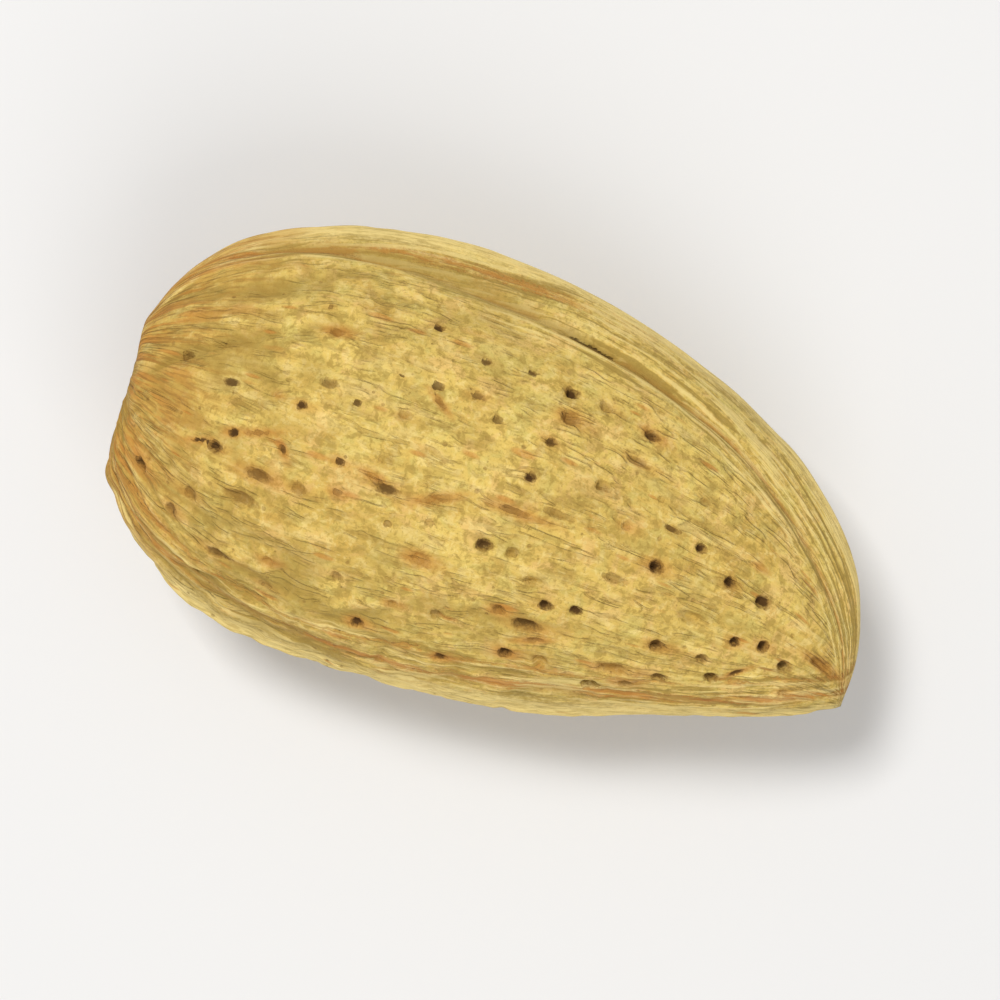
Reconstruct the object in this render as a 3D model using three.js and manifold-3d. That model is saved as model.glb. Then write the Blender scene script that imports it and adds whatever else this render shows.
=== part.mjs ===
// A whole almond in its closed shell, lying on one broad face. Units are millimetres, +Z is up.
// The long axis is X, from the blunt stem end at -X to the pointed tip at +X. The ventral edge, which
// carries the keel and its suture, faces +Y, and the flatter dorsal edge faces -Y. The origin is under
// the middle of the nut, on the small flat spot that it rests on.

import * as THREE from "three";
import { mergeVertices } from "three/addons/utils/BufferGeometryUtils.js";
import Module from "manifold-3d";

const wasm = await Module();
wasm.setup();

// Driving dimensions of the whole nut
const LENGTH = 36.3;
const REST_DEPTH = 0.32;

// Half outlines from above, on either side of the line from stem to tip, and half the thickness: how large
// each gets, how far along the nut, and how it comes up from the stem and goes down to the tip. A large
// reach keeps it full until close to that end, and its power is 0.5 for a round end and 1 for a corner.
const VENTRAL = {
  peak: 12.65,
  at: 0.46,
  stem: { reach: 2, power: 0.33 },
  tip: { reach: 2.2, power: 0.47 },
};
const DORSAL = {
  peak: 7.7,
  at: 0.3,
  stem: { reach: 7, power: 0.67 },
  tip: { reach: 2.1, power: 0.98 },
};
const THICKNESS = {
  peak: 7.6,
  at: 0.42,
  stem: { reach: 1, power: 0.5 },
  tip: { reach: 1, power: 0.7 },
};

// The stem end is cut off blunt: how far the outlines run past it, and how softly both ends are rounded
const STEM_OVERRUN = 0.2;
const STEM_ROUNDING = 0.4;
const TIP_ROUNDING = 0.3;

// How far the thickest line of the nut follows the middle of its width
const SPINE_FOLLOWS = 0.75;

// How sharply the two faces pinch together at each edge: 1 is round, 2 is a knife edge
const VENTRAL_PINCH = 1.38;
const DORSAL_PINCH = 1.16;
const STEM_PINCH = 1;

// Keel with the suture in it, and the ridge on the dorsal edge
const KEEL = { height: 0.3, width: 1 };
const SUTURE = { depth: 0.16, width: 0.2 };
const DORSAL_RIDGE = { height: 0.2, width: 0.7 };

// Furrows along both edges of each face. Side is 1 at the ventral edge and -1 at the dorsal one, and the
// inset changes from its value near the stem to its value near the tip.
const KEEL_FURROW = {
  side: 1,
  inset: { stem: 0.9, tip: 2.1 },
  wander: 0.15,
  phase: 1,
  depth: 0.4,
  width: 0.4,
  from: 0.04,
  to: 0.97,
};
const DORSAL_FURROW = {
  side: -1,
  inset: { stem: 0.8, tip: 0.9 },
  wander: 0.1,
  phase: 3,
  depth: 0.2,
  width: 0.4,
  from: 0.08,
  to: 0.95,
};
const LOWER_FACE_FURROW = {
  side: 1,
  inset: { stem: 2.6, tip: 3.4 },
  wander: 0.25,
  phase: 2.6,
  depth: 0.16,
  width: 0.5,
  from: 0.05,
  to: 0.6,
};
const UPPER_FACE_FURROW = {
  side: 1,
  inset: { stem: 5.4, tip: 3.2 },
  wander: 0.3,
  phase: 4.4,
  depth: 0.2,
  width: 0.5,
  from: 0.01,
  to: 0.42,
};
const FURROWS = [KEEL_FURROW, DORSAL_FURROW, LOWER_FACE_FURROW, UPPER_FACE_FURROW];

// Hollow left by the stem, with its rim
const SCAR = { depth: 0.8, radius: 2.5, rimHeight: 0.15, rimRadius: 3.5, rimWidth: 0.6 };

// Creases that fan out from the stem scar
const CREASES = 17;
const CREASE_DEPTH = 0.19;
const CREASE_SPREAD = 0.085;

// Pits in the two faces
const PIT_TRIES = 420;
const PIT_GAP = 1.2;
const PIT_RADIUS = { small: 0.17, large: 0.3 };
const PIT_SIDES = 6;
const PIT_CLEARANCE = 0.5;
const LONG_PIT_SHARE = 0.25;
const PIT_INSET = { ventral: 3.8, dorsal: 1.1 };

// Facets: rows from stem to tip, and columns on each face from the keel to its furrow, on to the dorsal furrow,
// and on to the dorsal edge
const ROWS = 46;
const KEEL_COLUMNS = 6;
const FACE_COLUMNS = 25;
const DORSAL_COLUMNS = 5;
const COLUMNS_PER_FACE = KEEL_COLUMNS + FACE_COLUMNS + DORSAL_COLUMNS;

const SHELL_COLOUR = 0xd2b464;

// The k-th repeatable draw from 0 to 1 of item i.
function draw(i, k) {
  const s = Math.sin(i * 12.9898 + k * 78.233) * 43758.5453;
  return s - Math.floor(s);
}

// From 0 below `low` to 1 above `high`, smoothly.
const ramp = THREE.MathUtils.smoothstep;

const bell = (distance, spread) => Math.exp(-((distance / spread) ** 2));

// The larger of two lengths, with the corner between them rounded.
const softMax = (a, b, rounding) => (a + b + Math.hypot(a - b, rounding)) / 2;

// The angle from one direction around the girth to another, between -PI and PI.
const turn = (from, to) => THREE.MathUtils.euclideanModulo(to - from + Math.PI, 2 * Math.PI) - Math.PI;

// A half outline over s, 0 at the stem and 1 at the tip. Seen from either end, it is 1 minus a power of the
// distance from the other end, raised to a second power, and it is scaled to its peak.
function profile(s, { peak, at, stem, tip }) {
  const shape = (t) => (1 - (1 - t) ** stem.reach) ** stem.power * (1 - t ** tip.reach) ** tip.power;
  return (peak * shape(s)) / shape(at);
}

// The cross-section at s: where it is along X, the Y of its thickest line, its half widths on either side
// of that line, and half its thickness.
function sectionAt(s) {
  const ventral = profile(s, VENTRAL);
  const dorsal = profile(s, DORSAL);
  const spine = (SPINE_FOLLOWS * (ventral - dorsal)) / 2;
  const pastStem = softMax(THREE.MathUtils.lerp(-STEM_OVERRUN, LENGTH, s), 0, STEM_ROUNDING);
  return {
    x: -softMax(-pastStem, -LENGTH, TIP_ROUNDING),
    spine,
    ventral: ventral - spine,
    dorsal: dorsal + spine,
    half: profile(s, THICKNESS),
  };
}

// The smooth form. The angle runs around the girth: 0 on the keel, PI / 2 on top, PI on the dorsal edge.
function smoothPoint(s, angle) {
  const section = sectionAt(s);
  const across = Math.cos(angle);
  const up = Math.sin(angle);
  const width = across > 0 ? section.ventral : section.dorsal;
  const edgePinch = THREE.MathUtils.lerp(DORSAL_PINCH, VENTRAL_PINCH, (1 + across) / 2);
  const pinch = THREE.MathUtils.lerp(STEM_PINCH, edgePinch, ramp(s, 0.02, 0.3));
  return new THREE.Vector3(
    section.x,
    section.spine + width * across,
    section.half * Math.sign(up) * Math.abs(up) ** pinch,
  );
}

// The smooth form's point at s and angle, with its outward normal and the direction towards the tip.
function frameAt(s, angle) {
  const step = 1e-3;
  const inner = THREE.MathUtils.clamp(s, 2 * step, 1 - 2 * step);
  const along = smoothPoint(inner + step, angle).sub(smoothPoint(inner - step, angle)).normalize();
  const around = smoothPoint(inner, angle + step).sub(smoothPoint(inner, angle - step)).normalize();
  const normal = new THREE.Vector3().crossVectors(around, along).normalize();
  return { point: smoothPoint(s, angle), normal, along };
}

// Each crease is a wavy line at nearly the same angle, which starts at the scar and dies out along the nut.
const creases = Array.from({ length: CREASES }, (_, i) => ({
  angle: (2 * Math.PI * (i + 0.7 * draw(i, 11))) / CREASES,
  end: 0.16 + 0.26 * draw(i, 12),
  depth: CREASE_DEPTH * (0.5 + draw(i, 13)),
  phase: 2 * Math.PI * draw(i, 14),
}));

function creaseRelief(s, angle) {
  return creases.reduce((height, crease) => {
    const line = crease.angle + 0.09 * Math.sin(22 * s + crease.phase);
    const fade = ramp(s, 0.02, 0.06) * (1 - ramp(s, 0.45 * crease.end, crease.end));
    return height - crease.depth * fade * bell(turn(line, angle), CREASE_SPREAD);
  }, 0);
}

// The keel stands proud of the ventral edge, with the suture in it, and a lower ridge follows the dorsal
// edge.
function ridgeRelief(s, angle, point) {
  const fade = ramp(s, 0.03, 0.12) * (1 - ramp(s, 0.94, 0.995));
  const keel = KEEL.height * bell(point.z, KEEL.width) - SUTURE.depth * bell(point.z, SUTURE.width);
  const dorsal = DORSAL_RIDGE.height * bell(point.z, DORSAL_RIDGE.width);
  return fade * (Math.cos(angle) > 0 ? keel : dorsal);
}

// How far inside its edge a furrow runs at s, seen from above. The face is 1 on top and -1 underneath.
function furrowInset({ inset, wander, phase }, s, face) {
  const inner = THREE.MathUtils.lerp(inset.stem, inset.tip, ramp(s, 0, 0.7));
  return inner + wander * Math.sin(11 * s + phase + 2 * face);
}

// Each furrow follows its line on each face, and is deeper in some places than in others.
function furrowRelief(s, angle) {
  const across = Math.cos(angle);
  const face = THREE.MathUtils.clamp(Math.sin(angle) / 0.3, -1, 1);
  const section = sectionAt(s);
  const inset = (across > 0 ? section.ventral : section.dorsal) * (1 - Math.abs(across));
  return FURROWS.filter((furrow) => furrow.side * across > 0).reduce((height, furrow) => {
    const fade = ramp(s, furrow.from, furrow.from + 0.08) * (1 - ramp(s, furrow.to - 0.12, furrow.to));
    const strength = 0.75 + 0.25 * Math.sin(17 * s + furrow.phase * (2 + face));
    return height - furrow.depth * fade * strength * bell(inset - furrowInset(furrow, s, face), furrow.width);
  }, 0);
}

// A hollow with a raised rim around the stem end of the long axis.
function scarRelief(s, point) {
  const radius = Math.hypot(point.y, point.z);
  const rim = SCAR.rimHeight * bell(radius - SCAR.rimRadius, SCAR.rimWidth);
  return (1 - ramp(s, 0.06, 0.12)) * (rim - SCAR.depth * bell(radius, SCAR.radius));
}

// Broad, shallow unevenness, so that the two faces aren't alike.
function lumpRelief(s, angle) {
  const first = 0.12 * Math.sin(3 * angle + 6 * s + 1.3);
  const second = 0.08 * Math.sin(5 * angle - 13 * s + 0.4);
  return Math.sin(Math.PI * s) * (first + second);
}

// The finished surface without its pits. At both poles the relief acts along the axis.
function surfaceAt(s, angle) {
  const { point, normal, along } = frameAt(s, angle);
  const outward = s > 0 && s < 1 ? normal : new THREE.Vector3(Math.sign(s - 0.5), 0, 0);
  const height =
    creaseRelief(s, angle) +
    ridgeRelief(s, angle, point) +
    furrowRelief(s, angle) +
    scarRelief(s, point) +
    lumpRelief(s, angle);
  return { point: point.addScaledVector(outward, height), normal, along };
}

const REST_LEVEL = REST_DEPTH - THICKNESS.peak;

// A mean line from stem to tip over the surface, which spaces the rows evenly.
class Meridian extends THREE.Curve {
  getPoint(s) {
    const { x, ventral, dorsal, half } = sectionAt(s);
    return new THREE.Vector2(x, (ventral + dorsal + 2 * half) / 4);
  }
}

const meridian = new Meridian();
meridian.arcLengthDivisions = 2000;

// The angle at s of the line that is `inset` inside the edge of a half section `width` wide.
const insetAngle = (inset, width) => Math.acos(1 - Math.min(inset / width, 0.3));

// The angle at s of a column, given where it would be if all were evenly spaced. One column follows each
// furrow.
function columnAngle(s, even) {
  const face = Math.sign(even);
  const { ventral, dorsal } = sectionAt(s);
  const column = (Math.abs(even) / Math.PI) * COLUMNS_PER_FACE;
  const toDorsal = COLUMNS_PER_FACE - column;
  const keelFurrow = insetAngle(furrowInset(KEEL_FURROW, s, face), ventral);
  const dorsalFurrow = Math.PI - insetAngle(furrowInset(DORSAL_FURROW, s, face), dorsal);
  if (column < KEEL_COLUMNS) return face * keelFurrow * (column / KEEL_COLUMNS) ** 1.3;
  if (toDorsal < DORSAL_COLUMNS) {
    return face * (Math.PI - (Math.PI - dorsalFurrow) * (toDorsal / DORSAL_COLUMNS));
  }
  return face * THREE.MathUtils.lerp(keelFurrow, dorsalFurrow, (column - KEEL_COLUMNS) / FACE_COLUMNS);
}

// A unit sphere with its poles at the stem and the tip, and each of its vertices moved out to the shell.
function shellGeometry() {
  const geometry = new THREE.SphereGeometry(1, 2 * COLUMNS_PER_FACE, ROWS).rotateZ(Math.PI / 2);
  const position = geometry.getAttribute("position");
  for (let i = 0; i < position.count; i++) {
    const spot = new THREE.Vector3().fromBufferAttribute(position, i);
    const share = Math.acos(THREE.MathUtils.clamp(-spot.x, -1, 1)) / Math.PI;
    const s = meridian.getUtoTmapping(share);
    const { point } = surfaceAt(s, columnAngle(s, Math.atan2(spot.z, spot.y)));
    position.setXYZ(i, point.x, point.y, Math.max(point.z, REST_LEVEL));
  }
  return geometry;
}

// Where the pits are. They are drawn over each face as seen from above, denser towards the tip and the
// dorsal edge, and kept off the keel, both ends, the resting spot and each other.
function pitsOf(face) {
  const pits = [];
  for (let i = 0; i < PIT_TRIES; i++) {
    const seed = i + (face > 0 ? 0 : PIT_TRIES);
    const s = 0.08 + 0.88 * draw(seed, 1);
    const y = THREE.MathUtils.lerp(-DORSAL.peak, VENTRAL.peak, draw(seed, 2));
    const { spine, ventral, dorsal } = sectionAt(s);
    const onFace = y < spine + ventral - PIT_INSET.ventral && y > spine - dorsal + PIT_INSET.dorsal;
    if (!onFace || draw(seed, 3) > 0.2 + 0.7 * s - 0.02 * y) continue;
    const across = (y - spine) / (y > spine ? ventral : dorsal);
    const spot = surfaceAt(s, face * Math.acos(across));
    const isClear = pits.every((pit) => pit.spot.point.distanceTo(spot.point) > PIT_GAP);
    if (!isClear || spot.point.z < REST_LEVEL + REST_DEPTH) continue;
    const radius = THREE.MathUtils.lerp(PIT_RADIUS.small, PIT_RADIUS.large, draw(seed, 4));
    const stretch = draw(seed, 5) < LONG_PIT_SHARE ? 1.5 + draw(seed, 6) : 1;
    pits.push({ spot, radius, stretch, depth: radius * (1.5 + 0.5 * draw(seed, 7)) });
  }
  return pits;
}

// A closed geometry as a manifold-3d solid.
function solidOf(geometry) {
  const bare = geometry.clone();
  bare.deleteAttribute("normal");
  bare.deleteAttribute("uv");
  const merged = mergeVertices(bare, 1e-5);
  return new wasm.Manifold(
    new wasm.Mesh({
      numProp: 3,
      vertProperties: merged.getAttribute("position").array,
      triVerts: new Uint32Array(merged.index.array),
    }),
  );
}

// A solid as a geometry to draw.
function geometryOf(solid) {
  const mesh = solid.getMesh();
  const geometry = new THREE.BufferGeometry();
  geometry.setAttribute("position", new THREE.BufferAttribute(mesh.vertProperties, 3));
  geometry.setIndex(new THREE.BufferAttribute(mesh.triVerts, 1));
  geometry.computeVertexNormals();
  return geometry;
}

// A cone that stands point down in the surface and is as wide as the pit where it passes through it.
function pitCutter({ spot, radius, stretch, depth }) {
  const height = depth + PIT_CLEARANCE;
  const cone = new THREE.ConeGeometry((radius * height) / depth, height, PIT_SIDES);
  cone.rotateX(Math.PI).translate(0, height / 2 - depth, 0).scale(1, 1, stretch);
  const across = new THREE.Vector3().crossVectors(spot.normal, spot.along).normalize();
  const along = new THREE.Vector3().crossVectors(across, spot.normal);
  const place = new THREE.Matrix4().makeBasis(across, spot.normal, along);
  return cone.applyMatrix4(place.setPosition(spot.point));
}

// The shell with its pits cut in, set down on its resting spot and centred over the origin.
function almondGeometry() {
  const cutters = [...pitsOf(1), ...pitsOf(-1)].map((pit) => solidOf(pitCutter(pit)));
  const geometry = geometryOf(solidOf(shellGeometry()).subtract(wasm.Manifold.union(cutters)));
  geometry.computeBoundingBox();
  const { min, max } = geometry.boundingBox;
  return geometry.translate(-(min.x + max.x) / 2, -(min.y + max.y) / 2, -min.z);
}

const almond = new THREE.Mesh(
  almondGeometry(),
  new THREE.MeshStandardMaterial({ color: SHELL_COLOUR, roughness: 0.85, metalness: 0 }),
);
almond.name = "almond_in_shell";

const part = new THREE.Group();
part.add(almond);

export default part;
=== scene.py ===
"""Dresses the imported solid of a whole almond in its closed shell, and lights it for a look from above.

The nut lies on one broad face. +X runs from its blunt stem end to its pointed tip, +Y points to its keeled
ventral edge, and +Z is up. The form repeats the part's own form from the same named values, in millimetres,
and adds the relief that is too fine for the solid: ragged pits, wrinkles, laminae and grain.
"""

import itertools
import logging
import math
from collections.abc import Iterator, Mapping, Sequence
from dataclasses import dataclass, field
from enum import Enum
from typing import Any

import bpy
import numpy as np
from mathutils import Matrix, Vector


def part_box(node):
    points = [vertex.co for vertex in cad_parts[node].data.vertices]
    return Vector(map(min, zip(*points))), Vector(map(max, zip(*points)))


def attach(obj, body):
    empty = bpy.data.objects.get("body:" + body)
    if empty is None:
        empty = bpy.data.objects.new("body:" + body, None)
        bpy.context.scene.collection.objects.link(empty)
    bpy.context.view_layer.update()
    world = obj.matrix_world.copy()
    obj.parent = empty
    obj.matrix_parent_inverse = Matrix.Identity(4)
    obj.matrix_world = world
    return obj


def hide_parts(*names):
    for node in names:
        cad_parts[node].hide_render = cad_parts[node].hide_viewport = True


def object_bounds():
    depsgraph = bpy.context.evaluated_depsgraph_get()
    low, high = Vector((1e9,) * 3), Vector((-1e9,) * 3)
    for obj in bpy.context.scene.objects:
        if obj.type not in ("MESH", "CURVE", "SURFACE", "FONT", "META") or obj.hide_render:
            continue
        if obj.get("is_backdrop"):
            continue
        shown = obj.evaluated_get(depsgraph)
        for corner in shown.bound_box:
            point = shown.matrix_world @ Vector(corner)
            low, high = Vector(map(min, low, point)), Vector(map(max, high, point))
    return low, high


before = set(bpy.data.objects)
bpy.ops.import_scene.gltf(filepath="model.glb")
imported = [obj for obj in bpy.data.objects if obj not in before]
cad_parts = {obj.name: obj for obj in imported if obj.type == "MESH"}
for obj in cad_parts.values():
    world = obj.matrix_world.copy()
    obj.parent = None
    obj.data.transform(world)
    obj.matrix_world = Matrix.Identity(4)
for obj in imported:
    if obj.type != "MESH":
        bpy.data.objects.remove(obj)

LOG = logging.getLogger("almond")
NODE = "almond_in_shell"
MM = 0.001
TURN = 2 * math.pi
# The third part of the offset from the nearest pit, away from all pits.
FAR = 4.0

Array = np.ndarray
Colour = tuple[float, ...]
Socket = bpy.types.NodeSocket


class Face(Enum):
    """One of the nut's two broad faces, with the sign of its Z."""

    UPPER = 1
    LOWER = -1


class Edge(Enum):
    """One of the nut's two long edges, with the sign of its Y."""

    VENTRAL = 1
    DORSAL = -1


def draw(item: int, channel: int) -> float:
    """Gives an item's repeatable draw from 0 to 1, the fraction of a large multiple of a sine."""
    value = math.sin(item * 12.9898 + channel * 78.233) * 43758.5453
    return value - math.floor(value)


def ramp(value: Array | float, low: float, high: float) -> Array:
    """Rises smoothly from 0 below low to 1 above high, as 3x^2 - 2x^3."""
    share = np.clip((np.asarray(value) - low) / (high - low), 0, 1)
    return share * share * (3 - 2 * share)


def window(value: Array | float, low: float, full: float, fade: float, high: float) -> Array:
    """Rises smoothly from 0 to 1 over low to full, and falls back over fade to high."""
    return ramp(value, low, full) * (1 - ramp(value, fade, high))


def bell(distance: Array | float, spread: float) -> Array:
    """Gives a bell curve: e to the power of minus the square of distance over spread."""
    return np.exp(-((np.asarray(distance) / spread) ** 2))


def soft_max(a: Array | float, b: Array | float, rounding: float) -> Array:
    """Gives the larger, with a rounded corner: half the sum and the hypotenuse of difference and rounding."""
    return (a + b + np.hypot(a - b, rounding)) / 2


def unit(vectors: Array) -> Array:
    """Scales vectors to a length of 1."""
    return vectors / np.linalg.norm(vectors, axis=-1, keepdims=True)


def stacked(*parts: Array | float) -> Array:
    """Joins the parts of vectors along a new last axis."""
    return np.stack(np.broadcast_arrays(*parts), axis=-1)


def lattice_noise(points: Array, seed: int) -> Array:
    """Gives smooth random heights from -1 to 1.

    Every corner of a lattice of unit cubes has a height hashed from its place, and a point blends the eight
    corners around it with the fifth-degree smooth step of its place in the cube.

    Args:
        points: places, with the last axis of 3.
        seed: which field of heights.

    Returns:
        One height for each point.
    """
    cell = np.floor(points).astype(np.int64)
    part = points - cell
    step = part**3 * (part * (part * 6 - 15) + 10)
    total = np.zeros(points.shape[:-1])
    for corner in itertools.product((0, 1), repeat=3):
        at = cell + np.array(corner)
        mixed = at[..., 0] * 73856093 ^ at[..., 1] * 19349663 ^ at[..., 2] * 83492791 ^ seed * 2654435761
        mixed = ((mixed ^ (mixed >> 15)) * 2246822519) & 0xFFFFFFFF
        mixed = ((mixed ^ (mixed >> 13)) * 3266489917) & 0xFFFFFFFF
        height = (mixed ^ (mixed >> 16)) / 0x7FFFFFFF - 1
        total += height * np.prod(np.where(np.array(corner) == 1, step, 1 - step), axis=-1)
    return total


def rough_noise(points: Array, seed: int, octaves: int) -> Array:
    """Sums lattice noise over octaves, each twice as fine and half as high, to about -1 to 1."""
    layers = (lattice_noise(points * 2**k + 17.3 * k, seed + k) / 2**k for k in range(octaves))
    return sum(layers) / (2 - 2 ** (1 - octaves))


def streaks(tube: Array, along: float, around: float, seed: int, octaves: int) -> Array:
    """Gives rough noise on the tube, with its own count of features in a millimetre along and around it."""
    return rough_noise(tube * np.array([along, around, around]), seed, octaves)


@dataclass(frozen=True)
class End:
    """How an outline comes to one end: how far from it the outline is full, and how bluntly it ends."""

    reach: float
    power: float

    def shape(self, away: Array | float) -> Array:
        """Gives the share over the way from this end: 1 minus a power of what is left, to a second power."""
        return (1 - (1 - np.asarray(away)) ** self.reach) ** self.power


@dataclass(frozen=True)
class Outline:
    """A half outline of the nut: its peak, where along the nut that is, and its two ends."""

    peak: float
    at: float
    stem: End
    tip: End

    def size(self, s: Array) -> Array:
        """Gives the half size over s: both ends' shares multiplied, and scaled to the peak."""
        return self.peak * self._share(s) / self._share(self.at)

    def _share(self, s: Array | float) -> Array:
        """Gives the product of both ends' shares."""
        return self.stem.shape(s) * self.tip.shape(1 - np.asarray(s))


@dataclass(frozen=True)
class Section:
    """The nut's cross-section at some places: its X, the Y of its thickest line, and its half sizes."""

    x: Array
    spine: Array
    ventral: Array
    dorsal: Array
    half: Array


@dataclass(frozen=True)
class Places:
    """Places on the smooth form, with what the relief is worked out from.

    s runs from 0 at the stem to 1 at the tip, and the angle around the girth is 0 on the keel and half a turn
    on the dorsal edge. The insets are the distances inside both edges, seen from above, and face is 1 over
    the upper face and -1 over the lower one, changing evenly across both edges. Along points to the tip.
    """

    s: Array
    angle: Array
    point: Array
    normal: Array
    along: Array
    insets: Mapping[Edge, Array]
    face: Array


@dataclass(frozen=True)
class SmoothForm:
    """The nut's form without relief, in millimetres."""

    length: float = 36.3
    ventral: Outline = Outline(12.65, 0.46, End(2.0, 0.33), End(2.2, 0.47))
    dorsal: Outline = Outline(7.7, 0.3, End(7.0, 0.67), End(2.1, 0.98))
    thickness: Outline = Outline(7.6, 0.42, End(1.0, 0.5), End(1.0, 0.7))
    stem_overrun: float = 0.2
    stem_rounding: float = 0.4
    tip_rounding: float = 0.3
    spine_follows: float = 0.75
    ventral_pinch: float = 1.38
    dorsal_pinch: float = 1.16
    stem_pinch: float = 1.0
    edge_blend: float = 0.3

    def section(self, s: Array) -> Section:
        """Gives the cross-sections at s.

        X runs evenly from past the stem end to the tip, with both ends softly cut off, and the thickest line
        follows the middle of the width part of the way.

        Args:
            s: places from 0 at the stem to 1 at the tip.

        Returns:
            The sections.
        """
        ventral, dorsal = self.ventral.size(s), self.dorsal.size(s)
        spine = self.spine_follows * (ventral - dorsal) / 2
        run = -self.stem_overrun + (self.length + self.stem_overrun) * s
        x = -soft_max(-soft_max(run, 0.0, self.stem_rounding), -self.length, self.tip_rounding)
        return Section(x, spine, ventral - spine, dorsal + spine, self.thickness.size(s))

    def point(self, s: Array, angle: Array) -> Array:
        """Gives points of the form: Y is the spine plus a half width times the cosine of the angle, and Z is
        the half thickness times a power of its sine.

        Args:
            s: places from stem to tip.
            angle: angles around the girth.

        Returns:
            The points, with the last axis of 3.
        """
        section = self.section(s)
        across, up = np.cos(angle), np.sin(angle)
        y = section.spine + np.where(across > 0, section.ventral, section.dorsal) * across
        edge_pinch = self.dorsal_pinch + (self.ventral_pinch - self.dorsal_pinch) * (1 + across) / 2
        pinch = self.stem_pinch + (edge_pinch - self.stem_pinch) * ramp(s, 0.02, 0.3)
        return stacked(section.x, y, section.half * np.sign(up) * np.abs(up) ** pinch)

    def places(self, s: Array, angle: Array) -> Places:
        """Works out places, with their normals and directions from small steps along the form.

        Args:
            s: places from stem to tip.
            angle: angles around the girth.

        Returns:
            The places. An inset is the half width times 1 minus the part of it that is across.
        """
        step = 1e-3
        inner = np.clip(s, 2 * step, 1 - 2 * step)
        along = unit(self.point(inner + step, angle) - self.point(inner - step, angle))
        around = unit(self.point(inner, angle + step) - self.point(inner, angle - step))
        normal, face = unit(np.cross(around, along)), np.clip(np.sin(angle) / self.edge_blend, -1, 1)
        section, across = self.section(s), np.cos(angle)
        insets = {Edge.VENTRAL: section.ventral * (1 - across), Edge.DORSAL: section.dorsal * (1 + across)}
        return Places(s, angle, self.point(s, angle), normal, along, insets, face)

    def even_places(self, shares: Array) -> Array:
        """Finds the places at given shares of the way over the surface, along a mean line from stem to tip.

        Args:
            shares: from 0 to 1.

        Returns:
            The values of s.
        """
        s = np.linspace(0, 1, 2001)
        section = self.section(s)
        height = (section.ventral + section.dorsal + 2 * section.half) / 4
        run = np.concatenate(([0], np.cumsum(np.hypot(np.diff(section.x), np.diff(height)))))
        return np.interp(shares * run[-1], run, s)


@dataclass(frozen=True)
class Furrow:
    """A furrow that keeps a wandering inset from one long edge, in millimetres."""

    edge: Edge
    stem_inset: float
    tip_inset: float
    wander: float
    phase: float
    depth: float
    width: float
    start: float
    end: float

    def line(self, s: Array, face: Array | float) -> Array:
        """Gives how far inside its edge the furrow runs at s, seen from above: a sine about its inset."""
        inner = self.stem_inset + (self.tip_inset - self.stem_inset) * ramp(s, 0, 0.7)
        return inner + self.wander * np.sin(11 * s + self.phase + 2 * face)

    def strength(self, at: Places) -> Array:
        """Gives the furrow's depth as a share: faded at both ends, and varying by a sine."""
        fade = window(at.s, self.start, self.start + 0.08, self.end - 0.12, self.end)
        return fade * (0.75 + 0.25 * np.sin(17 * at.s + self.phase * (2 + at.face)))

    def off(self, at: Places) -> Array:
        """Gives how far inside the furrow's line places are."""
        return at.insets[self.edge] - self.line(at.s, at.face)


@dataclass(frozen=True)
class Spot:
    """A spot of the surface, its outward normal and the direction of its length."""

    middle: Array
    normal: Array
    along: Array


@dataclass(frozen=True)
class Pit:
    """A pit in a face: its spot, its sizes in millimetres, how dark it is painted, partly as shade, and how
    stained it is.

    It is drawn out along its length by its stretch, and its half towards the tip by its tail too.
    """

    spot: Spot
    radius: float
    stretch: float
    tail: float
    depth: float
    dark: float
    stain: float

    @property
    def reach(self) -> float:
        """How far the pit goes from its middle to the end of its tail."""
        return self.radius * self.stretch * self.tail

    def clear_of(self, others: Sequence["Pit"], gap: float) -> bool:
        """Tells whether the pit stays some way off all of some other pits."""
        ways = ((np.linalg.norm(self.spot.middle - other.spot.middle), other.reach) for other in others)
        return all(way > gap + 1.5 * (self.reach + reach) for way, reach in ways)

    def offsets(self, points: Array) -> Array:
        """Gives where points lie from the middle in the pit's own frame, in radii.

        Args:
            points: the points, with the last axis of 3.

        Returns:
            The offsets along and across the pit, with the last axis of 2.
        """
        normal, along = self.spot.normal, self.spot.along
        lengthwise = unit(along - normal * (along @ normal))
        offset = points - self.spot.middle
        run, across = offset @ lengthwise / self.stretch, offset @ np.cross(normal, lengthwise)
        return stacked(np.where(run > 0, run / self.tail, run), across) / self.radius


def tailed_pit(
    seed: int, spot: Spot, radius: float, stretch: float, depth: float, dark: float, stain: float
) -> Pit:
    """Makes a pit with a drawn tail, which has its depth in radii and is the less dark the longer it is."""
    tail = 1 + draw(seed, 10)
    return Pit(spot, radius, stretch, tail, radius * depth, dark / (stretch * tail) ** 0.4, stain)


@dataclass(frozen=True)
class Vessel:
    """A short stained groove in the upper face, where a vessel of the shell lies open: its place along and
    across, its half width, stretch and turn from the nut's length, and how dark it is."""

    s: float
    y: float
    radius: float
    stretch: float
    turn: float
    dark: float


@dataclass(frozen=True)
class Sowing:
    """How spots are scattered: the first one's seed, how many are tried, over which span of s, and the chance
    that one is kept, which changes along and across the nut."""

    first: int
    tries: int
    start: float
    span: float
    chance: float
    along: float
    across: float


@dataclass(frozen=True)
class FineSizes:
    """The heights and depths of the relief that is too fine for the solid, in millimetres."""

    wrinkle: float = 0.03
    stem_wrinkle: float = 0.07
    ripple: float = 0.1
    fold: float = 0.11
    fine_fold: float = 0.06
    keel_sheets: float = 0.06
    dorsal_sheets: float = 0.13
    cut: float = 0.12
    crevice: float = 0.2
    slit: float = 0.3
    patches: float = 0.07
    swells: float = 0.05


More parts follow.
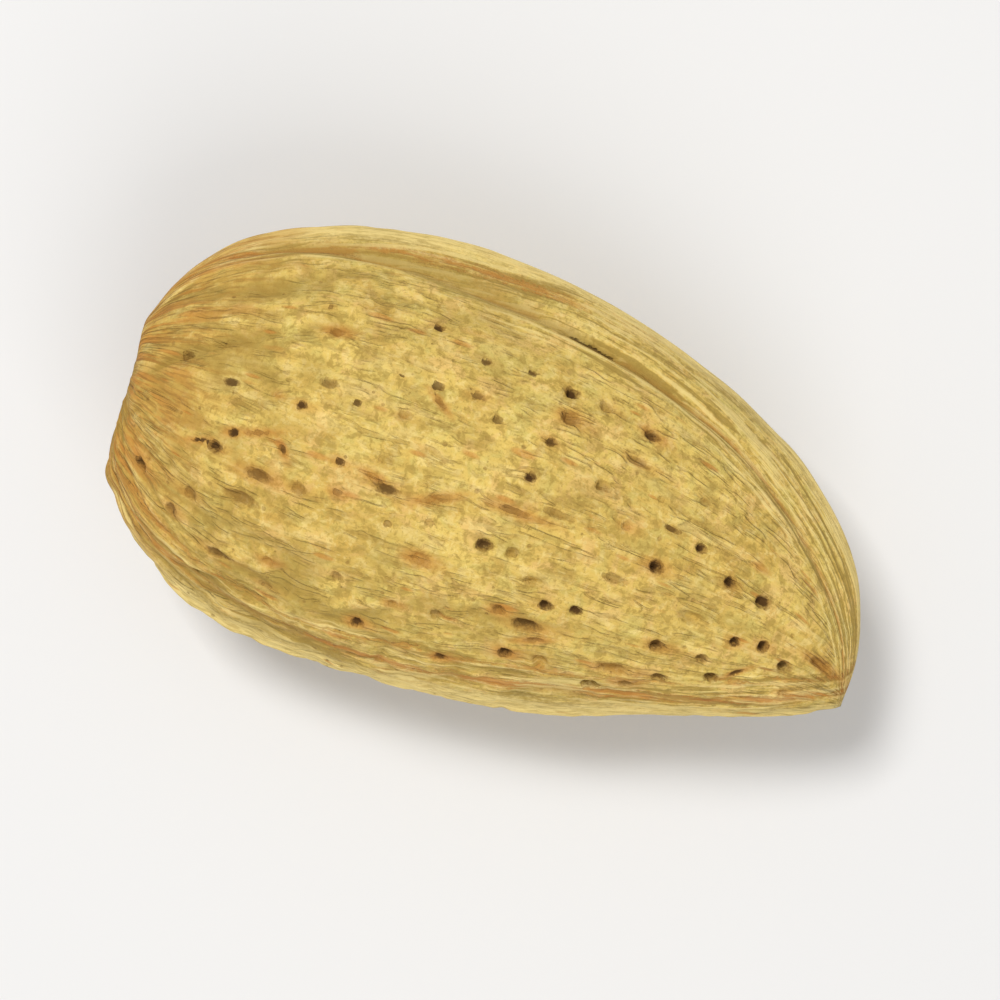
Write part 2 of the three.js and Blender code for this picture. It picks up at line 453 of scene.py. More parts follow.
@dataclass
class AlmondShell:
    """The whole nut in its shell: the smooth form, its relief and its one mesh."""

    finish: "ShellFinish"
    form: SmoothForm = SmoothForm()
    fine: FineSizes = FineSizes()
    rest_depth: float = 0.32
    keel_height: float = 0.3
    keel_width: float = 1.0
    suture_depth: float = 0.16
    suture_width: float = 0.2
    dorsal_height: float = 0.2
    dorsal_width: float = 0.7
    scar_depth: float = 0.8
    scar_radius: float = 2.5
    scar_rim_height: float = 0.15
    scar_rim_radius: float = 3.5
    scar_rim_width: float = 0.6
    creases: int = 17
    crease_depth: float = 0.19
    crease_spread: float = 0.085
    pit_sowing: Sowing = Sowing(0, 420, 0.08, 0.88, 0.2, 0.7, -0.02)
    pit_gap: float = 1.2
    pit_small: float = 0.17
    pit_large: float = 0.3
    long_pit_share: float = 0.25
    dimple_sowing: Sowing = Sowing(5000, 420, 0.06, 0.9, 0.35, 0.4, 0.0)
    dimple_gap: float = 0.2
    ventral_clear: float = 3.8
    dorsal_clear: float = 1.1
    rows: int = 292
    keel_columns: int = 36
    keel_growth: float = 1.15
    widest_band: float = 0.3
    face_columns: int = 110
    dorsal_columns: int = 22
    girth_radius: float = 8.0
    slit_start: float = 0.488
    slit_end: float = 0.577
    furrows: tuple[Furrow, ...] = (
        Furrow(Edge.VENTRAL, 0.9, 2.1, 0.15, 1.0, 0.4, 0.4, 0.04, 0.97),
        Furrow(Edge.DORSAL, 0.8, 0.9, 0.1, 3.0, 0.2, 0.4, 0.08, 0.95),
        Furrow(Edge.VENTRAL, 2.6, 3.4, 0.25, 2.6, 0.16, 0.5, 0.05, 0.6),
        Furrow(Edge.VENTRAL, 5.4, 3.2, 0.3, 4.4, 0.2, 0.5, 0.01, 0.42),
    )
    vessels: tuple[Vessel, ...] = (
        Vessel(0.180, 0.5, 0.19, 1.3, 0.4, 0.8),
        Vessel(0.207, 0.9, 0.13, 4.0, 0.35, 0.4),
        Vessel(0.145, -0.4, 0.11, 3.5, 0.4, 0.7),
        Vessel(0.243, 0.7, 0.14, 2.0, -0.8, 0.6),
        Vessel(0.434, 1.4, 0.20, 3.0, 0.45, 0.35),
        Vessel(0.393, 5.2, 0.14, 2.6, -0.6, 0.45),
        Vessel(0.354, 1.2, 0.16, 2.2, -0.2, 0.3),
        Vessel(0.608, -2.7, 0.15, 3.0, 0.3, 0.45),
        Vessel(0.850, -0.4, 0.12, 3.0, 0.6, 0.7),
    )
    pits: list[Pit] = field(default_factory=list)

    @property
    def rest_level(self) -> float:
        """The Z of the flat resting spot before the nut is set down."""
        return self.rest_depth - self.form.thickness.peak

    def crease_relief(self, at: Places) -> Array:
        """Gives the creases that fan out from the stem scar: a bell across each wavy line of nearly constant
        angle, faded in past the scar and out along the nut.

        Args:
            at: the places.

        Returns:
            The heights, zero or less.
        """
        height = np.zeros(np.broadcast(at.s, at.angle).shape)
        for i in range(self.creases):
            line = TURN * (i + 0.7 * draw(i, 11)) / self.creases
            line = line + 0.09 * np.sin(22 * at.s + TURN * draw(i, 14))
            end = 0.16 + 0.26 * draw(i, 12)
            fade = window(at.s, 0.02, 0.06, 0.45 * end, end)
            off = (at.angle - line + math.pi) % TURN - math.pi
            height -= self.crease_depth * (0.5 + draw(i, 13)) * fade * bell(off, self.crease_spread)
        return height

    def ridge_relief(self, at: Places) -> Array:
        """Gives the keel with the suture in it, and the lower ridge along the dorsal edge: bells over the
        distance from the middle plane, faded at both ends.

        Args:
            at: the places.

        Returns:
            The heights.
        """
        z = at.point[..., 2]
        fade = window(at.s, 0.03, 0.12, 0.94, 0.995)
        keel = self.keel_height * bell(z, self.keel_width) - self.suture_depth * bell(z, self.suture_width)
        return fade * np.where(np.cos(at.angle) > 0, keel, self.dorsal_height * bell(z, self.dorsal_width))

    def furrow_relief(self, at: Places) -> Array:
        """Gives the furrows: a bell across each line inside its edge, times its depth and strength.

        Args:
            at: the places.

        Returns:
            The heights, zero or less.
        """
        height = np.zeros(np.broadcast(at.s, at.angle).shape)
        for furrow in self.furrows:
            cut = furrow.depth * furrow.strength(at) * bell(furrow.off(at), furrow.width)
            height -= np.where(furrow.edge.value * np.cos(at.angle) > 0, cut, 0)
        return height

    def scar_relief(self, at: Places) -> Array:
        """Gives the hollow left by the stem and its raised rim: bells over the distance from the long axis.

        Args:
            at: the places.

        Returns:
            The heights.
        """
        radius = np.hypot(at.point[..., 1], at.point[..., 2])
        rim = self.scar_rim_height * bell(radius - self.scar_rim_radius, self.scar_rim_width)
        return (1 - ramp(at.s, 0.06, 0.12)) * (rim - self.scar_depth * bell(radius, self.scar_radius))

    def lump_relief(self, at: Places) -> Array:
        """Gives broad, shallow unevenness: two sines over angle and s, calm at both ends."""
        sines = 0.12 * np.sin(3 * at.angle + 6 * at.s + 1.3) + 0.08 * np.sin(5 * at.angle - 13 * at.s + 0.4)
        return np.sin(math.pi * at.s) * sines

    def main_relief(self, at: Places) -> Array:
        """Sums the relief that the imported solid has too, without its pits."""
        lines = self.crease_relief(at) + self.ridge_relief(at) + self.furrow_relief(at)
        return lines + self.scar_relief(at) + self.lump_relief(at)

    def surface_spot(self, s: float, y: float, face: Face) -> Spot:
        """Finds the spot of a face that is above or below a place in the outline.

        Args:
            s: the place from stem to tip.
            y: the place across.
            face: which face.

        Returns:
            The spot, with its length towards the tip.
        """
        place = np.array(s)
        section = self.form.section(place)
        across = (y - section.spine) / (section.ventral if y > section.spine else section.dorsal)
        at = self.form.places(place, face.value * np.arccos(across))
        return Spot(at.point + at.normal * self.main_relief(at), at.normal, at.along)

    def scattered(self, face: Face, sowing: Sowing) -> Iterator[tuple[int, Spot]]:
        """Scatters spots over a face as seen from above, clear of both edges.

        Args:
            face: which face.
            sowing: how they are scattered.

        Yields:
            Each spot's seed and the spot.
        """
        for i in range(sowing.tries):
            seed = sowing.first + i + (0 if face is Face.UPPER else sowing.tries)
            s = sowing.start + sowing.span * draw(seed, 1)
            y = -self.form.dorsal.peak + (self.form.ventral.peak + self.form.dorsal.peak) * draw(seed, 2)
            section = self.form.section(np.array(s))
            low = section.spine - section.dorsal + self.dorsal_clear
            high = section.spine + section.ventral - self.ventral_clear
            if low < y < high and draw(seed, 3) <= sowing.chance + sowing.along * s + sowing.across * y:
                yield seed, self.surface_spot(s, y, face)

    def find_pits(self, face: Face) -> Iterator[Pit]:
        """Finds a face's pits, denser towards the tip and the dorsal edge, and kept off the resting spot and
        each other.

        Args:
            face: which face.

        Yields:
            Each pit.
        """
        placed: list[Array] = []
        for seed, spot in self.scattered(face, self.pit_sowing):
            crowded = any(np.linalg.norm(spot.middle - other) <= self.pit_gap for other in placed)
            if crowded or spot.middle[2] < self.rest_level + self.rest_depth:
                continue
            placed.append(spot.middle)
            radius = self.pit_small + (self.pit_large - self.pit_small) * draw(seed, 4)
            stretch = 1.5 + draw(seed, 6) if draw(seed, 5) < self.long_pit_share else 1.0
            depth, dark = 0.9 + 0.8 * draw(seed, 7), 0.3 + 0.7 * draw(seed, 8)
            yield tailed_pit(seed, spot, radius, stretch, depth, dark, max(0.0, 1.8 * draw(seed, 9) - 0.7))

    def open_vessels(self, face: Face) -> Iterator[Pit]:
        """Turns the vessels that lie open in a face into shallow, stained pits.

        Args:
            face: which face.

        Yields:
            Each vessel that the upper face has, and none for the lower one.
        """
        for vessel in self.vessels if face is Face.UPPER else ():
            spot = self.surface_spot(vessel.s, vessel.y, face)
            across = np.cross(spot.normal, spot.along)
            along = spot.along * math.cos(vessel.turn) + across * math.sin(vessel.turn)
            turned = Spot(spot.middle, spot.normal, along)
            yield Pit(turned, vessel.radius, vessel.stretch, 1.0, 1.1 * vessel.radius, vessel.dark, 1.0)

    def find_dimples(self, face: Face, pits: Sequence[Pit]) -> Iterator[Pit]:
        """Finds the small, mostly shallow dimples that lie between a face's pits.

        Args:
            face: which face.
            pits: the face's pits.

        Yields:
            Each dimple, as a pit.
        """
        placed = list(pits)
        for seed, spot in self.scattered(face, self.dimple_sowing):
            radius, stretch = 0.09 + 0.15 * draw(seed, 4), 1.0 + 2.2 * draw(seed, 5) ** 2
            depth, dark = 0.5 + 0.8 * draw(seed, 6) ** 2, 0.1 + 0.9 * draw(seed, 6) ** 2
            dimple = tailed_pit(seed, spot, radius, stretch, depth, dark, draw(seed, 9) ** 2)
            if dimple.clear_of(placed, self.dimple_gap):
                placed.append(dimple)
                yield dimple

    def pit_fields(self, surface: Array) -> dict[str, Array]:
        """Measures every point against the pits around it.

        A pit's depth falls off smoothly with the distance in its own frame, made ragged by noise, and a low
        lip rings it. The offset to the nearest pit turns to a plain third direction away from all pits, so
        that it can be blended between points.

        Args:
            surface: the surface's points without pits.

        Returns:
            The heights that the pits add, the offsets, and how dark and how stained each point's pit is.
        """
        ragged = 0.45 * rough_noise(surface * 2.6, 71, 2)
        height, dark, stain = np.zeros((3, *surface.shape[:-1]))
        offsets = np.zeros(surface.shape)
        offsets[..., 2] = FAR
        for pit in self.pits:
            near = np.abs(surface - pit.spot.middle).max(axis=-1) < 4 * pit.reach
            offset = pit.offsets(surface[near])
            distance = np.linalg.norm(offset, axis=-1)
            away = distance + ragged[near] * np.minimum(distance, 1)
            height[near] += 0.1 * pit.radius * bell(away - 1.5, 0.4) - pit.depth * (1 - ramp(away, 0.2, 1.2))
            closer = distance < np.linalg.norm(offsets[near], axis=-1)
            hold = 1 - ramp(distance, 1.1, 1.6)
            local = stacked(offset[..., 0] * hold, offset[..., 1] * hold, FAR * (1 - hold))
            offsets[near] = np.where(closer[..., None], local, offsets[near])
            dark[near] = np.where(closer, pit.dark, dark[near])
            spread = np.hypot(offset[..., 0] / 1.9, offset[..., 1] / 1.1)
            stain[near] = np.maximum(stain[near], pit.stain * (1 - ramp(spread, 0.5, 2.0)))
        return {"height": height, "offset": offsets, "dark": dark, "stain": stain}

    def fine_relief(self, at: Places, surface: Array) -> tuple[Array, Array]:
        """Gives the relief that is too fine for the solid.

        Wrinkles are noise drawn out along the nut, strongest near the stem, where they fan out. Laminae are
        noise over the inset and s beside both edges, so they follow them. A narrow cut lies in the keel
        furrow, deepest in its slit, and the rest is plain, shallow noise.

        Args:
            at: the places.
            surface: the surface's points.

        Returns:
            The heights, and the share of each point that is in a crease.
        """
        size, s, ventral, dorsal = self.fine, at.s, at.insets[Edge.VENTRAL], at.insets[Edge.DORSAL]
        off_line = self.furrows[0].off(at)
        off_band, cut = ramp(off_line, 0.0, 1.2), bell(off_line, 0.15)
        inner, towards_stem = window(s, 0.0, 0.04, 0.93, 1.0), window(s, 0.01, 0.05, 0.1, 0.42)
        sway = 0.06 * rough_noise(surface * 0.45, 5, 2)
        wrinkle = streaks(self.tube(s, at.angle + sway), 0.3, 1.1, 21, 2)
        folds = self.tube(s, at.angle + 1.4 * sway)
        fold = 1 - np.minimum(np.abs(streaks(folds, 0.34, 0.85, 23, 1)) / 0.3, 1)
        fine_fold = 1 - np.minimum(np.abs(streaks(folds, 0.7, 1.7, 29, 1)) / 0.4, 1)
        dorsal_side = (1 - ramp(dorsal, 2.0, 6.5)) * (1 - ramp(s, 0.35, 0.85))
        folded = inner * off_band * np.clip(0.28 + 0.9 * dorsal_side + 0.6 * towards_stem, 0, 1.2)
        beside_keel = (1 - ramp(off_line, 0.3, 2.4)) * inner
        keel_sheets = stacked(3.0 * s, ventral * 1.9 + 0.3 * wrinkle, 3 * at.face)
        dorsal_sheets = stacked(3.4 * s, dorsal * 2.1 + 0.3 * wrinkle, 3 * at.face)
        broken = 0.5 + 0.5 * lattice_noise(stacked(16 * s, 4 * at.face, 0.0), 47)
        crevice = window(s, 0.03, 0.06, 0.12, 0.22) * bell(self.furrows[3].off(at), 0.2)
        slit = window(s, self.slit_start, self.slit_start + 0.02, self.slit_end - 0.02, self.slit_end)
        patches = size.patches * off_band * rough_noise(surface * 1.1, 57, 2)
        uneven = patches + size.swells * lattice_noise(surface * 0.4, 59)
        height = (
            wrinkle * (size.wrinkle * inner + size.stem_wrinkle * towards_stem)
            + size.ripple * folded * dorsal_side * streaks(folds, 0.42, 1.0, 27, 1)
            - folded * (size.fold * fold + size.fine_fold * fine_fold)
            + size.keel_sheets * beside_keel * lattice_noise(keel_sheets, 41)
            + size.dorsal_sheets * (1 - ramp(dorsal, 0.8, 3.0)) * inner * lattice_noise(dorsal_sheets, 43)
            - size.cut * inner * ramp(broken, 0.2, 0.7) * cut
            - size.crevice * crevice
            - size.slit * slit * np.where(np.sin(at.angle) > 0, cut, 0)
            + uneven * ramp(s, 0.0, 0.03)
        )
        return height, np.clip(folded * np.maximum(fold, 0.6 * fine_fold), 0, 1)

    def tube(self, s: Array, angle: Array) -> Array:
        """Gives each place's point on a tube of constant girth around the long axis, in millimetres."""
        radius = self.girth_radius
        return stacked(self.form.length * s, radius * np.cos(angle), radius * np.sin(angle))

    def column_angles(self, s: Array, face: Face) -> Array:
        """Gives the angles of one face's columns: dense on the keel band up to its furrow, even over the face
        to the dorsal furrow, and even again to the dorsal edge.

        Args:
            s: places from stem to tip, as a column.
            face: which face.

        Returns:
            The angles, with a row for each place, from the keel up to but not at the dorsal edge.
        """
        section = self.form.section(s)
        widths = (section.ventral, section.dorsal)
        insets = (furrow.line(s, face.value) / width for furrow, width in zip(self.furrows, widths))
        keel, dorsal = (np.arccos(1 - np.minimum(inset, self.widest_band)) for inset in insets)
        dorsal = math.pi - dorsal
        band = keel * (np.arange(self.keel_columns) / self.keel_columns) ** self.keel_growth
        broad = keel + (dorsal - keel) * np.arange(self.face_columns) / self.face_columns
        rim = dorsal + (math.pi - dorsal) * np.arange(self.dorsal_columns) / self.dorsal_columns
        return np.concatenate((band, broad, rim), axis=1)

    def grid(self) -> Places:
        """Gives the grid of places, without the two poles.

        Returns:
            The places, with s as a column and a row of angles for each, once around the girth.
        """
        s = self.form.even_places(np.arange(1, self.rows) / self.rows)[:, None]
        upper, lower = (self.column_angles(s, face) for face in Face)
        edge = np.full((len(s), 1), math.pi)
        return self.form.places(s, np.concatenate((upper, edge, TURN - lower[:, :0:-1]), axis=1))

    def build(self) -> bpy.types.Object:
        """Works out the shell's surface, makes its mesh and dresses it.

        Returns:
            The shell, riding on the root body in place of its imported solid.
        """
        for face in Face:
            pits = [*self.find_pits(face), *self.open_vessels(face)]
            self.pits += pits + list(self.find_dimples(face, pits))
        at = self.grid()
        main = self.main_relief(at)
        surface = at.point + at.normal * main[..., None]
        fine, crease = self.fine_relief(at, surface)
        pit = self.pit_fields(surface)
        surface = surface + at.normal * (fine + pit["height"])[..., None]
        stem, tip = (self.pole(place)[None] for place in (0.0, 1.0))
        points = np.concatenate((stem, surface.reshape(-1, 3), tip))
        points[:, 2] = np.maximum(points[:, 2], self.rest_level)
        faces = girth_faces(self.rows - 1, at.angle.shape[1])
        shell = mesh_object("almond_shell", self.set_down(points), faces)
        edges = stacked(at.insets[Edge.VENTRAL], at.insets[Edge.DORSAL], at.face)
        fields: dict[str, tuple[Array, Sequence[float], Sequence[float]]] = {
            "offset": (pit["offset"], (0.0, 0.0, FAR), (0.0, 0.0, FAR)),
            "dark": (pit["dark"], (0.0,), (0.0,)),
            "stain": (pit["stain"], (0.0,), (0.0,)),
            # hollow and crease feed the material's painted shade in the hollows and creases.
            "hollow": (main + fine, (-self.scar_depth,), (0.0,)),
            "crease": (crease, (0.0,), (0.0,)),
            "place": (np.broadcast_to(at.s, at.angle.shape), (0.0,), (1.0,)),
            "keel": (self.furrows[0].off(at), (3.0,), (0.0,)),
            "edges": (edges, (3.0, 3.0, 0.0), (0.0, 0.0, 0.0)),
            "tube": (self.tube(at.s, at.angle), (0.0, 0.0, 0.0), (self.form.length, 0.0, 0.0)),
        }
        for name, (values, at_stem, at_tip) in fields.items():
            kind, key = ("FLOAT_VECTOR", "vector") if len(at_stem) == 3 else ("FLOAT", "value")
            layer = shell.data.attributes.new(name, kind, "POINT")
            layer.data.foreach_set(key, np.concatenate((at_stem, values.ravel(), at_tip)).astype(np.float32))
        shell.data.materials.append(ShellMaterial(self.finish, self).build())
        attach(shell, "root")
        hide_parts(NODE)
        return shell

    def pole(self, place: float) -> Array:
        """Gives the point at one end of the long axis, 0 or 1, moved along it by the relief there."""
        at = self.form.places(np.array(place), np.array(0.0))
        return at.point + np.array([math.copysign(1, place - 0.5), 0, 0]) * self.main_relief(at)

    def set_down(self, points: Array) -> Array:
        """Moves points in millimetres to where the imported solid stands, and turns them to metres.

        Args:
            points: the points, with the resting spot at the rest level.

        Returns:
            The points in metres, with their box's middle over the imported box's and its foot on it.
        """
        low, high = (np.array(corner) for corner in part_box(NODE))
        metres = points * MM
        shift = (low + high - metres.min(axis=0) - metres.max(axis=0)) / 2
        shift[2] = low[2] - metres[:, 2].min()
        return metres + shift


def girth_faces(rings: int, columns: int) -> list[list[int]]:
    """Joins a pole, rings of points and a second pole into faces that point outwards.

    Args:
        rings: how many rings lie between the poles.
        columns: how many points each ring has.

    Returns:
        The faces: a fan of triangles at each pole and squares between the rings.
    """
    start = 1 + columns * np.arange(rings)[:, None] + np.arange(columns)
    after = np.roll(start, -1, axis=1)
    squares = stacked(start[:-1], after[:-1], after[1:], start[1:]).reshape(-1, 4)
    stem, tip = stacked(0, after[0], start[0]), stacked(1 + rings * columns, start[-1], after[-1])
    return stem.tolist() + squares.tolist() + tip.tolist()


def mesh_object(name: str, points: Array, faces: Sequence[Sequence[int]]) -> bpy.types.Object:
    """Makes a smooth-shaded mesh object at the origin.

    Args:
        name: the object's name.
        points: its points in metres.
        faces: the points of each face.

    Returns:
        The object, in the scene.
    """
    mesh = bpy.data.meshes.new(name)
    mesh.from_pydata(points.tolist(), [], faces)
    mesh.polygons.foreach_set("use_smooth", np.ones(len(mesh.polygons), bool))
    mesh.update()
    made = bpy.data.objects.new(name, mesh)
    bpy.context.scene.collection.objects.link(made)
    return made


@dataclass(frozen=True)
class Value:
    """A number in a shader, which is an output socket. An expression on it adds Math nodes."""

    graph: "ShaderGraph"
    socket: Socket

    def __add__(self, other: "Value | float") -> "Value":
        """Adds."""
        return self.graph.math("ADD", self, other)

    __radd__ = __add__

    def __sub__(self, other: "Value | float") -> "Value":
        """Subtracts."""
        return self.graph.math("SUBTRACT", self, other)

    def __rsub__(self, other: float) -> "Value":
        """Subtracts this value from a number."""
        return self.graph.math("SUBTRACT", other, self)

    def __mul__(self, other: "Value | float") -> "Value":
        """Multiplies."""
        return self.graph.math("MULTIPLY", self, other)

    __rmul__ = __mul__

    def __truediv__(self, other: "Value | float") -> "Value":
        """Divides."""
        return self.graph.math("DIVIDE", self, other)

    def __rtruediv__(self, other: float) -> "Value":
        """Divides a number by this value."""
        return self.graph.math("DIVIDE", other, self)

    def __pow__(self, other: float) -> "Value":
        """Raises to a power."""
        return self.graph.math("POWER", self, other)

    def step(self, low: float, high: float) -> "Value":
        """Turns the value into a smooth step, 0 at low and 1 at high, where low may be the larger.

        Args:
            low: the value that gives 0.
            high: the value that gives 1.

        Returns:
            The step.
        """
        flip = low > high
        inputs = {"Value": self, "From Min": min(low, high), "From Max": max(low, high)}
        inputs |= {"To Min": float(flip), "To Max": float(not flip)}
        return self.graph.value("ShaderNodeMapRange", {"interpolation_type": "SMOOTHSTEP"}, inputs)

    def clamped(self) -> "Value":
        """Keeps the value from 0 to 1."""
        return self.graph.value("ShaderNodeMath", {"operation": "ADD", "use_clamp": True}, {0: self, 1: 0.0})

    def bell(self, spread: float) -> "Value":
        """Turns the value into a flat-topped bell: 1 over 1 plus the fourth power of value over spread."""
        return 1.0 / ((self / spread) ** 4.0 + 1.0)


Input = Value | Socket | float | Sequence[float]
Inputs = Mapping[str | int, Input]
Settings = Mapping[str, Any] | None


class ShaderGraph:
    """A material's nodes, with one method that adds any of them."""

    def __init__(self, name: str) -> None:
        """Makes an empty material.

        Args:
            name: the material's name.
        """
        self.material = bpy.data.materials.new(name)
        self.material.use_nodes = True
        self.tree = self.material.node_tree
        self.tree.nodes.clear()

    def add(self, kind: str, settings: Settings = None, inputs: Inputs | None = None) -> bpy.types.Node:
        """Adds a node.

        Args:
            kind: the node's type.
            settings: its properties, set first.
            inputs: the value or link of each socket, by name or number.

        Returns:
            The node.
        """
        node = self.tree.nodes.new(kind)
        for name, setting in (settings or {}).items():
            setattr(node, name, setting)
        for key, given in (inputs or {}).items():
            source = given.socket if isinstance(given, Value) else given
            if isinstance(source, Socket):
                self.tree.links.new(source, node.inputs[key])
            else:
                node.inputs[key].default_value = source
        return node

    def value(self, kind: str, settings: Settings, inputs: Inputs) -> Value:
        """Adds a node and gives its first output as a number."""
        return Value(self, self.add(kind, settings, inputs).outputs[0])

    def math(self, operation: str, *terms: Value | float) -> Value:
        """Adds a Math node."""
        return self.value("ShaderNodeMath", {"operation": operation}, dict(enumerate(terms)))

    def stored(self, name: str, output: str) -> Socket:
        """Reads what is stored for each point of the mesh, as a number (Fac) or a vector (Vector)."""
        return self.add("ShaderNodeAttribute", {"attribute_name": name}).outputs[output]

    def field(self, name: str) -> Value:
        """Reads a number stored for each point of the mesh."""
        return Value(self, self.stored(name, "Fac"))

    def scaled(self, vector: Socket, *scale: float) -> Socket:
        """Multiplies a vector's parts by three factors."""
        return self.add("ShaderNodeVectorMath", {"operation": "MULTIPLY"}, {0: vector, 1: scale}).outputs[0]

    def noise(self, vector: Socket, scale: float, detail: float, rough: float, bend: float = 0.0) -> Value:
        """Gives noise from 0 to 1, with its count of features in a unit, octaves, roughness and bend."""
        inputs = {"Vector": vector, "Scale": scale, "Detail": detail, "Roughness": rough, "Distortion": bend}
        return self.value("ShaderNodeTexNoise", None, inputs)

    def spots(self, vector: Socket, scale: float, share: float, small: float, large: float) -> Value:
        """Scatters round spots of varied size, one at most in each cell.

        Args:
            vector: where they are read.
            scale: how many cells a unit of the vector has.
            share: the share of cells that have a spot.
            small: the smallest radius, in cells.
            large: the largest radius, in cells.

        Returns:
            1 in a spot and 0 outside, with a soft edge.
        """
        cells = self.add("ShaderNodeTexVoronoi", {"feature": "F1"}, {"Vector": vector, "Scale": scale})
        chance = self.add("ShaderNodeSeparateColor", None, {0: cells.outputs["Color"]})
        filled = Value(self, chance.outputs[0]).step(share + 0.01, share - 0.01)
        radius = Value(self, chance.outputs[1]) * (large - small) + small
        return (Value(self, cells.outputs["Distance"]) / radius).step(1.3, 0.6) * filled

    def mix(self, share: Value, first: Input, second: Input) -> Socket:
        """Mixes a share from 0 to 1 of a second colour into a first one."""
        settings = {"data_type": "RGBA", "blend_type": "MIX", "clamp_factor": True}
        return self.add("ShaderNodeMix", settings, {0: share, 6: first, 7: second}).outputs[2]

    def finished(self, inputs: Inputs) -> bpy.types.Material:
        """Ends the material in one shader.

        Args:
            inputs: the shader's values and links.

        Returns:
            The material.
        """
        shader = self.add("ShaderNodeBsdfPrincipled", None, inputs)
        self.add("ShaderNodeOutputMaterial", None, {"Surface": shader.outputs[0]})
        return self.material


def from_srgb(red: int, green: int, blue: int) -> Colour:
    """Turns a screen colour, with parts from 0 to 255, into a linear one with an alpha of 1."""
    parts = (c / 255 for c in (red, green, blue))
    return (*(c / 12.92 if c <= 0.04045 else ((c + 0.055) / 1.055) ** 2.4 for c in parts), 1.0)


@dataclass(frozen=True)
class ShellFinish:
    """The dry, matt, fibrous surface of the shell: its colours, and the heights of its finest relief in
    millimetres."""

    straw: Colour = from_srgb(219, 188, 98)
    pale: Colour = from_srgb(234, 209, 134)
    ochre: Colour = from_srgb(196, 154, 70)
    khaki: Colour = from_srgb(192, 180, 100)
    tan: Colour = from_srgb(226, 180, 118)
    olive: Colour = from_srgb(158, 130, 58)
    rust: Colour = from_srgb(184, 118, 46)
    cork: Colour = from_srgb(132, 94, 40)
    # dark paints the shade at the pits' bottoms and in the slit.
    dark: Colour = from_srgb(80, 54, 20)
    roughness: float = 0.82
    specular: float = 0.25
    fibre_height: float = 0.05
    thread_height: float = 0.02
    grain_height: float = 0.045
    lamina_height: float = 0.09
    crinkle_depth: float = 0.055
    rim_line_depth: float = 0.05
    speck_depth: float = 0.03
    dash_depth: float = 0.025
    slit_depth: float = 0.12
    pit_depth: float = 0.08


